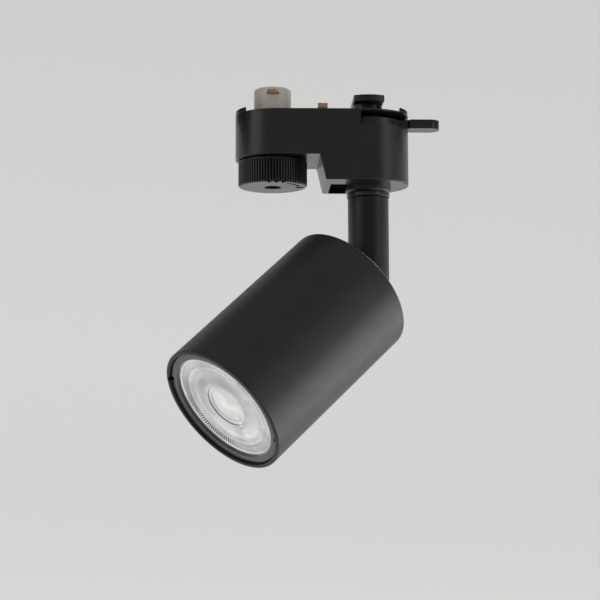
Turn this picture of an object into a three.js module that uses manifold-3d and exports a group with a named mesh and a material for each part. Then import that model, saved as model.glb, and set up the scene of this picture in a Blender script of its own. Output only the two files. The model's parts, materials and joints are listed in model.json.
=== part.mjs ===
// Track spotlight: a single-circuit rail adapter, a swivelling stem and a tube-shaped head that holds a
// twist-lock reflector lamp. Millimetres, +Z up. The origin is the centre of the adapter's top seat, the
// flat face that lies against the underside of the rail, and +X runs along the rail towards the lock lever.
import * as THREE from "three";
import { mergeVertices } from "three/addons/utils/BufferGeometryUtils.js";
import Module from "manifold-3d";

const wasm = await Module();
wasm.setup();

// ---------------------------------------------------------------- driving dimensions (mm, degrees)

// Adapter casing: a round-ended box, thin over the knob and deep round the stem.
const CASE_R = 16.5;
const CASE_END_X = 18.75;
const RIM_Z = -1.65;
const THIN_Z = -20.3;
const DEEP_Z = -30.65;
const STEP_TOP_X = -1.42;
const STEP_LOW_X = 0.89;
const WALL = 1.8;
const SEAM_HALF = 0.05;
const FLOOR_Z = DEEP_Z + WALL;
const THIN_FLOOR_Z = THIN_Z + WALL;
const CAVITY_R = CASE_R - WALL;

// Vertical axes of the adapter: contact knob on the left, lock lever and stem on the right.
const KNOB_X = -20.1;
const PAN_X = CASE_END_X;

// Lock lever and the slot that it swings in.
const SLOT_LOW_Z = -7.8;
const SLOT_TOP_Z = -2.5;
const SLOT_HALF = 3.8;
const HUB_R = 14.4;
const HUB_LOW_Z = -7.6;
const HUB_TOP_Z = -4.4;
const SHELF_Z = -9.4;
const WING_LOW_Z = 2.6;
const WING_MIDDLE_Z = 3.1;
const WING_TOP_Z = 5.2;
const WING_REACH = 11.8;

// Contact knob and rotor.
const KNOB_R = 14;
const KNOB_TOP_Z = -20.6;
const KNOB_LOW_Z = -31.05;
const KNOB_RIBS = 75;
const TURRET_R = 7.6;
const TURRET_TOP_Z = 9.3;
const BLADE_LOW_Z = 6.2;
const BLADE_THICK = 0.9;

// Stem, swivel and tilt pivot.
const STEM_R = 8.3;
const STEM_TOP_Z = -35.7;
const BORE_R = 3.2;
const NIPPLE_R = 5;
const NIPPLE_TOP_Z = -22;
const PIVOT_Z = -65.69;
const FORK_HALF = 3.2;
const FORK_TOP = 7.4;
const LEAD_HOLE_Z = -49.5;
const PAN_DEG = 33.05;
const TILT_DEG = 50.33;

// Head: a tube of HEAD_R that is HEAD_LENGTH long, its rear face HEAD_GAP from the tilt pivot.
const HEAD_R = 28;
const HEAD_BORE_R = 26.3;
const HEAD_LENGTH = 78.91;
const HEAD_GAP = 13.34;
const FRONT = -(HEAD_GAP + HEAD_LENGTH);
const RING_HOLE_R = 23.3;
const RING_R = 26.05;
const RING_FRONT = FRONT + 1.2;
const RING_BACK = FRONT + 2.6;
const LENS_FRONT = FRONT + 2.45;
const ENTRY_DEG = 130;
const TWIST_DEG = 20;
const PIN_PITCH_R = 5;
const SPACER_X = 17.5;
const BUSH_Y = 16;

const HEAD_SIDES = 40;
const SIDES = 24;
const SMALL_SIDES = 12;
const LEAD_R = 1.1;

const radians = THREE.MathUtils.degToRad;

// ---------------------------------------------------------------- finishes

const finish = (color, roughness, metalness = 0) => ({ color, roughness, metalness });
const BLACK_PLASTIC = finish(0x232323, 0.45);
const KNOB_PLASTIC = finish(0x1f1f1f, 0.5);
const GREY_PLASTIC = finish(0x5a5a59, 0.45);
const NATURAL_PLASTIC = finish(0xd9d6cc, 0.5);
const POWDER_BLACK = finish(0x2a2929, 0.55, 0.1);
const SATIN_BLACK = finish(0x1e1d1d, 0.4, 0.1);
const STEEL = finish(0xa9abad, 0.35, 1);
const BRASS = finish(0xb08d46, 0.35, 1);
const COPPER = finish(0xb5694a, 0.3, 1);
const CERAMIC = finish(0xe6e2d8, 0.6);
const LAMP_WHITE = finish(0xe4e4e2, 0.45);
const LENS_CLEAR = finish(0xf2f4f6, 0.08);
const BOARD_GREEN = finish(0x2f6b44, 0.5);
const BOARD_WHITE = finish(0xf0f0ee, 0.4);
const PHOSPHOR = finish(0xe8c65a, 0.5);
const RUBBER = finish(0x151515, 0.9);
const LEAD_BROWN = finish(0x5a3420, 0.5);
const LEAD_BLUE = finish(0x2b5fa8, 0.5);
const LEAD_GREEN = finish(0x5a8f2e, 0.5);

// ---------------------------------------------------------------- shapes and solids

// A closed outline turned about Z. The points are [radius, height] and run anticlockwise: outwards along
// the bottom, up the outside and back along the top. One that doesn't start on the axis is closed here.
function turned(points, sides = SIDES) {
  const outline = points.map(([radius, height]) => new THREE.Vector2(radius, height));
  if (points[0][0] > 0) outline.push(outline[0].clone());
  return new THREE.LatheGeometry(outline, sides).rotateX(Math.PI / 2);
}

function rod(radius, low, high, sides = SIDES) {
  return turned([[0, low], [radius, low], [radius, high], [0, high]], sides);
}

function tube(inner, outer, low, high, sides = SIDES) {
  return turned([[inner, low], [outer, low], [outer, high], [inner, high]], sides);
}

function box([x0, x1], [y0, y1], [z0, z1]) {
  const block = new THREE.BoxGeometry(x1 - x0, y1 - y0, z1 - z0);
  return block.translate((x0 + x1) / 2, (y0 + y1) / 2, (z0 + z1) / 2);
}

// An outline in the XY plane, extruded from one height to another.
function prism(outline, low, high, curveSegments = 12) {
  const options = { depth: high - low, bevelEnabled: false, curveSegments };
  return new THREE.ExtrudeGeometry(outline, options).translate(0, 0, low);
}

// An outline drawn in XZ and extruded along Y.
function sidePrism(outline, y0, y1, curveSegments = 12) {
  return prism(outline, 0, y1 - y0, curveSegments).rotateX(Math.PI / 2).translate(0, y1, 0);
}

// An outline drawn in YZ and extruded along X.
function crossPrism(outline, x0, x1) {
  const turn = new THREE.Matrix4().makeBasis(
    new THREE.Vector3(0, 1, 0),
    new THREE.Vector3(0, 0, 1),
    new THREE.Vector3(1, 0, 0),
  );
  return prism(outline, x0, x1).applyMatrix4(turn);
}

function polygon(points) {
  return new THREE.Shape(points.map(([x, y]) => new THREE.Vector2(x, y)));
}

function obround(x0, x1, radius) {
  const outline = new THREE.Shape();
  outline.absarc(x1, 0, radius, -Math.PI / 2, Math.PI / 2, false);
  outline.absarc(x0, 0, radius, Math.PI / 2, (3 * Math.PI) / 2, false);
  return outline;
}

// A slot of constant width bent round the origin, with round ends.
function arcSlot(radius, halfWidth, fromDeg, toDeg) {
  const [from, to] = [radians(fromDeg), radians(toDeg)];
  const outline = new THREE.Shape();
  outline.absarc(0, 0, radius + halfWidth, from, to, false);
  outline.absarc(radius * Math.cos(to), radius * Math.sin(to), halfWidth, to, to + Math.PI, false);
  outline.absarc(0, 0, radius - halfWidth, to, from, true);
  outline.absarc(radius * Math.cos(from), radius * Math.sin(from), halfWidth, from + Math.PI, from, false);
  return outline;
}

// Turns a piece made along Z so that it lies along +Y, and moves it.
function alongY(geometry, x, z) {
  return geometry.rotateX(-Math.PI / 2).translate(x, 0, z);
}

// A pan-head screw along Z: the head stands up from z, the shank goes down from it.
function screw(headR, headHeight, shankR, length, z = 0) {
  const outline = [[0, z - length], [shankR, z - length], [shankR, z], [headR, z]];
  outline.push([headR, z + headHeight * 0.6], [headR * 0.75, z + headHeight], [0, z + headHeight]);
  return turned(outline, SMALL_SIDES);
}

// An insulated lead along a smooth curve through the points.
function lead(points, radius = LEAD_R) {
  const route = new THREE.CatmullRomCurve3(points.map((point) => new THREE.Vector3(...point)));
  const section = new THREE.Shape().absarc(0, 0, radius, 0, 2 * Math.PI, false);
  const steps = Math.max(2, Math.round(route.getLength() / 3));
  return new THREE.ExtrudeGeometry(section, { steps, curveSegments: 6, extrudePath: route });
}

function toSolid(geometry) {
  const bare = geometry.index ? geometry.toNonIndexed() : geometry.clone();
  bare.deleteAttribute("normal");
  bare.deleteAttribute("uv");
  const merged = mergeVertices(bare, 1e-4);
  const corners = merged.index.array;
  const kept = [];
  for (let i = 0; i < corners.length; i += 3) {
    const [a, b, c] = [corners[i], corners[i + 1], corners[i + 2]];
    if (a !== b && b !== c && c !== a) kept.push(a, b, c);
  }
  const mesh = new wasm.Mesh({
    numProp: 3,
    vertProperties: merged.attributes.position.array,
    triVerts: new Uint32Array(kept),
  });
  return new wasm.Manifold(mesh);
}

function toGeometry(solid) {
  const { vertProperties, triVerts, numProp } = solid.getMesh();
  const positions = new Float32Array((vertProperties.length / numProp) * 3);
  for (let i = 0; i < positions.length / 3; i += 1) {
    positions.set(vertProperties.subarray(i * numProp, i * numProp + 3), i * 3);
  }
  const geometry = new THREE.BufferGeometry();
  geometry.setAttribute("position", new THREE.BufferAttribute(positions, 3));
  geometry.setIndex(new THREE.BufferAttribute(triVerts, 1));
  geometry.computeVertexNormals();
  return geometry;
}

const join = (...geometries) => toGeometry(geometries.map(toSolid).reduce((a, b) => a.add(b)));

function cut(body, ...tools) {
  return toGeometry(tools.map(toSolid).reduce((a, b) => a.subtract(b), toSolid(body)));
}

const common = (a, b) => toGeometry(toSolid(a).intersect(toSolid(b)));

function add(group, name, geometry, look) {
  const mesh = new THREE.Mesh(geometry, new THREE.MeshStandardMaterial(look));
  mesh.name = name;
  group.add(mesh);
}

// ---------------------------------------------------------------- adapter casing

const SHELL_SCREWS = [[-4, -9.5], [5.4, -23.6]];
const SCREW_POST_R = 2.6;
const PILOT_R = 1.15;
const SWIVEL_BOSS_R = 9.2;
const SWIVEL_BOSS_LOW_Z = -33.6;
const STOP_IN_R = 9.3;
const STOP_OUT_R = 11.8;
const STOP_HALF = 0.6;
const STOP_TAB_Z = [-27.9, -26.95];
const WINDOW = { x: [3.25, 12], y: [-5.4, CASE_R - 0.7] };
const GUIDE_R = 5;
const SPINDLE_R = 4.4;
const COVER_LOW_Z = -3.9;
const COVER_TOP_Z = -1.5;
const COVER_POCKET_Z = -2.4;
const COVER_TONGUE = { x: [-16, 8], y: [-15.4, 15.4], z: [-3.6, -2.6] };
const LAND_FROM_X = 31;
const SEAT_HALF_X = 10.5;
const SEAT_HALF_Y = 8.2;

const widened = ([low, high], gap) => [low - gap, high + gap];

// The casing's side view, drawn in XZ. The inset moves every wall inwards, and the top stays open.
function caseSide(inset, top) {
  const slope = (STEP_LOW_X - STEP_TOP_X) / (THIN_Z - DEEP_Z);
  const across = inset * Math.hypot(1, slope);
  const stepX = (z) => STEP_TOP_X + slope * (THIN_Z - z) + across;
  const end = CASE_END_X + CASE_R - inset;
  const [thin, deep] = [THIN_Z + inset, DEEP_Z + inset];
  const underside = [[-end, thin], [stepX(thin), thin], [stepX(deep), deep], [end, deep]];
  return polygon([[-end, top], ...underside, [end, top]]);
}

function caseSolid(inset, top) {
  const plan = prism(obround(-CASE_END_X, CASE_END_X, CASE_R - inset), DEEP_Z - 1, top);
  return common(plan, sidePrism(caseSide(inset, top), -CASE_R - 1, CASE_R + 1));
}

// The bent slot in the right-hand end, from the front of the casing round to just past its end.
function leverSlot() {
  const reach = CASE_R + 2;
  const sector = new THREE.Shape();
  sector.moveTo(-SLOT_HALF, -reach);
  sector.lineTo(reach, -reach);
  sector.lineTo(reach, SLOT_HALF);
  sector.lineTo(-SLOT_HALF, SLOT_HALF);
  sector.closePath();
  return prism(sector, SLOT_LOW_Z, SLOT_TOP_Z).translate(PAN_X, 0, 0);
}

function hollowCase() {
  const bossChamfer = 0.8;
  const boss = turned([
    [0, SWIVEL_BOSS_LOW_Z],
    [SWIVEL_BOSS_R - bossChamfer, SWIVEL_BOSS_LOW_Z],
    [SWIVEL_BOSS_R, SWIVEL_BOSS_LOW_Z + bossChamfer],
    [SWIVEL_BOSS_R, FLOOR_Z],
    [0, FLOOR_Z],
  ]).translate(PAN_X, 0, 0);
  const shelfBlock = box([6, 40], [-20, 20], [SHELF_Z, SLOT_LOW_Z - 0.1]);
  const shelf = common(caseSolid(WALL - 0.2, RIM_Z), shelfBlock);
  const walls = cut(join(caseSolid(0, RIM_Z), boss), caseSolid(WALL, RIM_Z + 1));
  const stopX = [PAN_X + STOP_IN_R, PAN_X + STOP_OUT_R];
  const stop = box(stopX, [-STOP_HALF, STOP_HALF], [FLOOR_Z - 0.5, STOP_TAB_Z[1] + 0.05]);
  const nippleHole = rod(NIPPLE_R + 0.1, SWIVEL_BOSS_LOW_Z - 1, FLOOR_Z + 1).translate(PAN_X, 0, 0);
  const guideHole = rod(GUIDE_R + 0.1, SHELF_Z - 1, SLOT_LOW_Z + 1).translate(PAN_X, 0, 0);
  const rotorHole = rod(SPINDLE_R + 0.1, THIN_Z - 1, THIN_FLOOR_Z + 1).translate(KNOB_X, 0, 0);
  const groove = box(...["x", "y", "z"].map((axis) => widened(COVER_TONGUE[axis], 0.1)));
  const bossWall = rod(SWIVEL_BOSS_R, DEEP_Z - 2, FLOOR_Z + 2).translate(PAN_X, 0, 0);
  const window = cut(box(WINDOW.x, WINDOW.y, [DEEP_Z - 1, FLOOR_Z + 1]), bossWall);
  return cut(join(walls, shelf, stop), nippleHole, guideHole, rotorHole, leverSlot(), groove, window);
}

const WHOLE_CASE = hollowCase();

function caseHalf(side) {
  const [low, high] = side < 0 ? [-20, -SEAM_HALF] : [SEAM_HALF, 20];
  const posts = SHELL_SCREWS.map(([x, z]) => {
    const [from, to] = side < 0 ? [-CAVITY_R - 0.5, -SEAM_HALF] : [SEAM_HALF, CAVITY_R + 0.5];
    return alongY(rod(SCREW_POST_R, from, to, SMALL_SIDES), x, z);
  });
  return join(common(WHOLE_CASE, box([-40, 40], [low, high], [-40, 5])), ...posts);
}

function housingFront() {
  const holes = SHELL_SCREWS.map(([x, z]) => alongY(rod(PILOT_R, -13.5, 1, SMALL_SIDES), x, z));
  return cut(caseHalf(-1), ...holes);
}

function housingBack() {
  const headSeatY = 14.9;
  const holes = SHELL_SCREWS.map(([x, z]) => alongY(rod(PILOT_R + 0.15, -1, 20, SMALL_SIDES), x, z));
  const sinks = SHELL_SCREWS.map(([x, z]) => alongY(rod(2.4, headSeatY, 20, SMALL_SIDES), x, z));
  return cut(caseHalf(1), ...holes, ...sinks);
}

function topCover() {
  const plate = prism(obround(-CASE_END_X, CASE_END_X, CAVITY_R - 0.1), COVER_LOW_Z, COVER_TOP_Z);
  const tongues = box(COVER_TONGUE.x, COVER_TONGUE.y, COVER_TONGUE.z);
  const seat = box([-SEAT_HALF_X, SEAT_HALF_X], [-SEAT_HALF_Y, SEAT_HALF_Y], [COVER_TOP_Z - 0.1, 0]);
  const outline = prism(obround(-CASE_END_X, CASE_END_X, CASE_R - 0.1), RIM_Z + 0.05, 0);
  const spans = [[-40, -LAND_FROM_X], [LAND_FROM_X, 40]];
  const lands = spans.map((span) => common(outline, box(span, [-20, 20], [-5, 5])));
  const turretHole = rod(TURRET_R + 0.1, -5, 1).translate(KNOB_X, 0, 0);
  const spindleHole = rod(6.5, -5, 1).translate(PAN_X, 0, 0);
  const earthSlot = box([-2.15, 2.15], [-SEAT_HALF_Y - 0.6, -SEAT_HALF_Y], [-5, 1]);
  const hubPocket = box([PAN_X - SLOT_HALF, 40], [-20, SLOT_HALF], [-5, COVER_POCKET_Z]);
  return cut(join(plate, tongues, seat, ...lands), turretHole, spindleHole, earthSlot, hubPocket);
}

// A springy leaf beside the seat that presses on the edge of the rail's slot.
function earthContact() {
  const outside = [[-8.7, -4.9], [-8.7, -0.6], [-9.0, 0.9], [-8.65, 2.2]];
  const inside = [[-8.3, 2.2], [-8.6, 0.9], [-8.3, -0.6], [-8.3, -4.9]];
  return crossPrism(polygon([...outside, ...inside]), -2, 2);
}

const adapter = new THREE.Group();
add(adapter, "housing_front", housingFront(), BLACK_PLASTIC);
add(adapter, "housing_back", housingBack(), BLACK_PLASTIC);
add(adapter, "top_cover", topCover(), BLACK_PLASTIC);
SHELL_SCREWS.forEach(([x, z], i) => {
  const shellScrew = alongY(screw(2.2, 1.3, 1.1, 26, 15), x, z);
  add(adapter, "housing_screw_" + (i + 1), shellScrew, STEEL);
});
add(adapter, "earth_contact", earthContact(), COPPER);
for (const [name, side, endX, look] of [["live", -1, 19.5, LEAD_BROWN], ["neutral", 1, 18, LEAD_BLUE]]) {
  const route = [[-13, 2.2, -13], [-6, 4.5, -14.5], [3, 4.5, -15], [12, 3.5, -16]];
  route.push([endX - 1, 1.7, -18.5], [endX, 1.2, -21.3]);
  add(adapter, name + "_lead_adapter", lead(route.map(([x, y, z]) => [x, y * side, z])), look);
}
const earthRoute = [[0, -8.5, -5.9], [1.5, -8.6, -12], [7, -8.6, -18]];
earthRoute.push([12.5, -6.6, -20.6], [14.6, -4.8, -21.6]);
add(adapter, "earth_lead_adapter", lead(earthRoute, 0.9), LEAD_GREEN);

// ---------------------------------------------------------------- contact knob, turns about KNOB_X

function contactRotor() {
  const spindle = turned([
    [0, THIN_Z - 0.2],
    [SPINDLE_R, THIN_Z - 0.2],
    [SPINDLE_R, -18.3],
    [8.6, -18.3],
    [8.6, -15.8],
    [6.2, -15.8],
    [6.2, -4.1],
    [TURRET_R, -4.1],
    [TURRET_R, TURRET_TOP_Z - 0.8],
    [TURRET_R - 0.8, TURRET_TOP_Z],
    [0, TURRET_TOP_Z],
  ]);
  const key = box([-3, 3], [-3, 3], [-24, THIN_Z]);
  const pocketZ = [BLADE_LOW_Z - 0.1, BLADE_LOW_Z + BLADE_THICK + 0.1];
  const pockets = [-1, 1].map((side) => box([-2.4, 2.4], side < 0 ? [-9, -1.9] : [1.9, 9], pocketZ));
  const screwHole = rod(1.3, -25, -14, SMALL_SIDES);
  return cut(join(spindle, key), ...pockets, screwHole);
}

// A copper tongue that reaches out of the turret to the rail's conductor, with a flat tip.
function contactBlade(side) {
  const outline = polygon([[-2.2, 2.2], [2.2, 2.2], [2.2, 10.4], [1.3, 11.6], [-1.3, 11.6], [-2.2, 10.4]]);
  const blade = prism(outline, BLADE_LOW_Z, BLADE_LOW_Z + BLADE_THICK);
  return side > 0 ? blade : blade.rotateZ(Math.PI);
}

function contactKnob() {
  const ribDepth = 0.55;
  const outline = [];
  for (let i = 0; i < 2 * KNOB_RIBS; i += 1) {
    const angle = (Math.PI * i) / KNOB_RIBS;
    const radius = i % 2 ? KNOB_R - ribDepth : KNOB_R;
    outline.push([radius * Math.cos(angle), radius * Math.sin(angle)]);
  }
  const baseR = 13.4;
  const plainTop = KNOB_LOW_Z + 0.5;
  const ribbed = prism(polygon(outline), plainTop, KNOB_TOP_Z);
  const base = turned([
    [0, KNOB_LOW_Z],
    [baseR - 0.3, KNOB_LOW_Z],
    [baseR, KNOB_LOW_Z + 0.3],
    [baseR, plainTop + 0.5],
    [0, plainTop + 0.5],
  ]);
  const socket = box([-3.1, 3.1], [-3.1, 3.1], [-24.1, KNOB_TOP_Z + 1]);
  const headSink = rod(3.45, KNOB_LOW_Z - 1, -28, SMALL_SIDES);
  const screwHole = rod(1.7, -29, -23, SMALL_SIDES);
  return cut(join(ribbed, base), socket, headSink, screwHole);
}

const contactGroup = new THREE.Group();
contactGroup.position.x = KNOB_X;
add(contactGroup, "contact_rotor", contactRotor(), NATURAL_PLASTIC);
add(contactGroup, "live_contact", contactBlade(-1), COPPER);
add(contactGroup, "neutral_contact", contactBlade(1), COPPER);
add(contactGroup, "contact_knob", contactKnob(), KNOB_PLASTIC);
add(contactGroup, "knob_screw", screw(3.1, 1.6, 1.2, 12, 0).rotateX(Math.PI).translate(0, 0, -28.05), BRASS);

// ---------------------------------------------------------------- lock lever, turns about PAN_X

function lockLever() {
  const [neckHalf, padHalf, padLow, padHigh] = [3.2, 4.2, -7.15, -3.45];
  const hub = rod(HUB_R, HUB_LOW_Z, HUB_TOP_Z);
  const guide = rod(GUIDE_R, SHELF_Z - 1, HUB_LOW_Z + 0.2);
  const neck = box([HUB_R - 1, 19], [-neckHalf, neckHalf], [padLow + 0.05, padHigh - 0.05]);
  const padEnd = 25.1;
  const inner = [[16.2, 2.9], [17.2, padHalf], [padEnd, padHalf]];
  const plan = polygon([...inner, ...inner.map(([x, y]) => [x, -y]).reverse()]);
  const pad = join(prism(plan, padLow, padHigh), rod(padHalf, padLow, padHigh).translate(padEnd, 0, 0));
  const screwHole = rod(1.6, SHELF_Z - 0.1, 0, SMALL_SIDES);
  return cut(join(hub, guide, neck, pad), screwHole);
}

// The bar that turns over the rail's two lips: both long edges straight, both ends round, and a grip pad
// under each end.
function lockWing() {
  const half = 6.2;
  const padFrom = 7.6;
  const middle = box([-20, 20], [-padFrom, padFrom], [0, WING_MIDDLE_Z]);
  const bar = common(rod(WING_REACH, WING_LOW_Z, WING_TOP_Z), box([-half, half], [-20, 20], [0, 10]));
  return cut(bar, middle, rod(1.6, 0, 10, SMALL_SIDES));
}

const lockGroup = new THREE.Group();
lockGroup.position.x = PAN_X;
add(lockGroup, "lock_lever", lockLever(), BLACK_PLASTIC);
add(lockGroup, "lock_spindle", tube(1.6, 6, HUB_TOP_Z + 0.05, WING_MIDDLE_Z - 0.05), BLACK_PLASTIC);
add(lockGroup, "lock_wing", lockWing(), BLACK_PLASTIC);
add(lockGroup, "lock_screw", screw(3, 1.8, 1.5, 14.2, WING_TOP_Z + 0.05), STEEL);

// ---------------------------------------------------------------- stem, pans about PAN_X

// A bar with a bore for the leads and a hole where they come out behind, a counterbore for the nipple, and
// a fork with round ends at the pivot. The tilt screw's hole is blind: it comes from behind.
function stem() {
  const side = new THREE.Shape();
  side.moveTo(STEM_R, STEM_TOP_Z);
  side.lineTo(-STEM_R, STEM_TOP_Z);
  side.lineTo(-STEM_R, PIVOT_Z);
  side.absarc(0, PIVOT_Z, STEM_R, Math.PI, 2 * Math.PI, false);
  const bar = common(rod(STEM_R, PIVOT_Z - STEM_R, STEM_TOP_Z), sidePrism(side, -STEM_R, STEM_R, 16));
  const slot = box([-10, 10], [-FORK_HALF, FORK_HALF], [PIVOT_Z - 10, PIVOT_Z + FORK_TOP]);
  const bores = join(rod(BORE_R + 0.1, -60, -30, SMALL_SIDES), rod(NIPPLE_R + 0.05, -42, -30));
  const pinHole = alongY(rod(2.1, -6.6, 10, SMALL_SIDES), 0, PIVOT_Z);
  const sink = alongY(rod(3.9, 5.6, 10, SMALL_SIDES), 0, PIVOT_Z);
  const leadHole = alongY(rod(3.4, 0, 10), 0, LEAD_HOLE_Z).rotateZ(-radians(PAN_DEG));
  return cut(bar, slot, bores, pinHole, sink, leadHole);
}

function hexNut(acrossCorners, holeR, low, high) {
  const hexagon = Array.from({ length: 6 }, (unused, i) => {
    const angle = (i * Math.PI) / 3;
    return [(acrossCorners / 2) * Math.cos(angle), (acrossCorners / 2) * Math.sin(angle)];
  });
  return cut(prism(polygon(hexagon), low, high), rod(holeR, low - 1, high + 1, SIDES));
}

// The washer whose tab meets the stop post at each end of the pan.
function stopWasher() {
  const tab = box([-10.8, -6], [-STOP_HALF, STOP_HALF], STOP_TAB_Z);
  return join(tube(NIPPLE_R + 0.05, 7, ...STOP_TAB_Z), tab);
}

const stemGroup = new THREE.Group();
stemGroup.position.x = PAN_X;
stemGroup.rotation.z = radians(PAN_DEG);
add(stemGroup, "stem", stem(), SATIN_BLACK);
const collar = tube(NIPPLE_R + 0.05, 8.7, STEM_TOP_Z + 0.15, SWIVEL_BOSS_LOW_Z - 0.15);
add(stemGroup, "friction_ring", collar, BLACK_PLASTIC);
add(stemGroup, "swivel_nipple", tube(BORE_R, NIPPLE_R, -41.8, NIPPLE_TOP_Z), STEEL);
add(stemGroup, "swivel_washer", tube(NIPPLE_R + 0.05, 9, -28.8, -28), NATURAL_PLASTIC);
add(stemGroup, "stop_washer", stopWasher(), STEEL);
add(stemGroup, "swivel_nut", hexNut(16, NIPPLE_R + 0.05, -26.85, -22.8), BRASS);
add(stemGroup, "tilt_screw", alongY(screw(3.4, 1.9, 2, 12.1, 5.65), 0, PIVOT_Z), STEEL);
for (const [name, side, look] of [["live", -1, LEAD_BROWN], ["neutral", 1, LEAD_BLUE]]) {
  const route = [[0, NIPPLE_TOP_Z - 0.2], [0, -34], [0, -43], [1, -46.8], [4.2, -49.3], [7.9, -49.8]];
  const leadStem = lead(route.map(([y, z]) => [1.3 * side, y, z])).rotateZ(-radians(PAN_DEG));
  add(stemGroup, name + "_lead_stem", leadStem, look);
}

// ---------------------------------------------------------------- head, tilts about the stem's pivot
// In the head's own frame the origin is the pivot, Y is the tilt axis and -Z points out of the lamp.

const CAP_OUT = -HEAD_GAP - 0.4;
const CAP_THICK = 3;
const CAP_IN = CAP_OUT - CAP_THICK;
const FOOT_TOP = -11.4;
const FOOT_SCREW_X = 8.3;
const BRIDGE_LOW = FRONT + 62.4;
const BRIDGE_TOP = FRONT + 63.6;
const HOLDER_FRONT = FRONT + 50.2;
const HOLDER_BACK = FRONT + 62.3;
const HOLDER_SCREW_X = 11;
const PIN_DEG = 90;

const LUG_R = 26.75;
const LUG_HALF = 0.9;

const atBoth = (x, make) => [-x, x].map((place) => make().translate(place, 0, 0));

// A tongue with a round eye that fits the stem's fork, on a round foot that lies on the rear cap.
function tiltBracket() {
  const eyeR = 7;
  const armHalf = 5.5;
  const outline = new THREE.Shape();
  outline.moveTo(-armHalf, FOOT_TOP - 1);
  outline.lineTo(armHalf, FOOT_TOP - 1);
  const lowerAngle = -Math.acos(armHalf / eyeR);
  outline.absarc(0, 0, eyeR, lowerAngle, Math.PI - lowerAngle, false);
  outline.closePath();
  const tongue = sidePrism(outline, -2.5, 2.5, 20);
  const foot = rod(11, CAP_OUT + 0.1, FOOT_TOP);
  const holes = atBoth(FOOT_SCREW_X, () => rod(1.6, -20, 0, SMALL_SIDES));
  return cut(join(tongue, foot), alongY(rod(2.1, -5, 5, SMALL_SIDES), 0, 0), ...holes);
}

function rearCap() {
  const plate = turned([
    [0, CAP_IN],
    [HEAD_BORE_R - 0.15, CAP_IN],
    [HEAD_BORE_R - 0.15, CAP_OUT - 0.4],
    [HEAD_BORE_R - 0.55, CAP_OUT],
    [0, CAP_OUT],
  ], HEAD_SIDES);
  const footHoles = atBoth(FOOT_SCREW_X, () => rod(1.6, CAP_IN - 1, CAP_OUT + 1, SMALL_SIDES));
  const bridgeHoles = atBoth(SPACER_X, () => rod(1.6, CAP_IN - 1, CAP_OUT - 0.4, SMALL_SIDES));
  const bushHole = rod(3.1, CAP_IN - 1, CAP_OUT + 1, SMALL_SIDES).translate(0, BUSH_Y, 0);
  return cut(plate, ...footHoles, ...bridgeHoles, bushHole);
}

// The head's tube. Near the front a groove and two entries take the retaining ring's lugs.
function headShell() {
  const rear = -HEAD_GAP;
  const bevel = 0.3;
  const shell = turned([
    [HEAD_BORE_R, FRONT],
    [HEAD_R - bevel, FRONT],
    [HEAD_R, FRONT + bevel],
    [HEAD_R, rear - bevel],
    [HEAD_R - bevel, rear],
    [HEAD_BORE_R, rear],
  ], HEAD_SIDES);
  const groove = tube(20, LUG_R + 0.25, RING_FRONT + 0.3, RING_BACK + 0.2, HEAD_SIDES);
  const entry = box([20, LUG_R + 0.2], [-LUG_HALF - 0.25, LUG_HALF + 0.25], [FRONT - 1, RING_BACK]);
  const entries = [0, 180].map((turn) => entry.clone().rotateZ(radians(ENTRY_DEG + turn)));
  return cut(shell, groove, ...entries);
}

function cableBush() {
  return turned([
    [2.7, CAP_IN - 1],
    [4, CAP_IN - 1],
    [4, CAP_IN - 0.1],
    [3, CAP_IN - 0.1],
    [3, CAP_OUT + 0.1],
    [4, CAP_OUT + 0.1],
    [3.6, CAP_OUT + 1.2],
    [2.7, CAP_OUT + 1.2],
  ], SMALL_SIDES).translate(0, BUSH_Y, 0);
}

function holderBridge() {
  const strip = box([-20.5, 20.5], [-6, 6], [BRIDGE_LOW, BRIDGE_TOP]);
  const holes = [SPACER_X, HOLDER_SCREW_X].flatMap((x) => atBoth(x, () => rod(1.6, -40, -20, SMALL_SIDES)));
  return cut(strip, ...holes);
}

// A ceramic block with two keyhole slots, round a chamber for the pins' heads.
function lampholder() {
  const plateBack = HOLDER_FRONT + 3;
  const chamberBack = HOLDER_FRONT + 8.7;
  const block = rod(14, HOLDER_FRONT, HOLDER_BACK);
  const chamber = tube(1.8, 8.2, plateBack, chamberBack);
  const keyholes = [0, 180].flatMap((turn) => {
    const slot = arcSlot(PIN_PITCH_R, 1.8, PIN_DEG - TWIST_DEG + turn, PIN_DEG + 4 + turn);
    const entryAngle = radians(PIN_DEG - TWIST_DEG + turn);
    const entry = rod(2.75, HOLDER_FRONT - 1, plateBack + 1, SMALL_SIDES);
    entry.translate(PIN_PITCH_R * Math.cos(entryAngle), PIN_PITCH_R * Math.sin(entryAngle), 0);
    return [prism(slot, HOLDER_FRONT - 1, plateBack + 1, 8), entry];
  });
  const screwHoles = atBoth(HOLDER_SCREW_X, () => rod(1.6, HOLDER_BACK - 8.5, HOLDER_BACK + 1, SMALL_SIDES));
  return cut(block, chamber, ...keyholes, ...screwHoles);
}

function socketClip(turn) {
  const strip = arcSlot(PIN_PITCH_R, 1.5, PIN_DEG - 22 + turn, PIN_DEG + 12 + turn);
  return prism(strip, HOLDER_FRONT + 7.4, HOLDER_FRONT + 8.3, 8);
}

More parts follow.
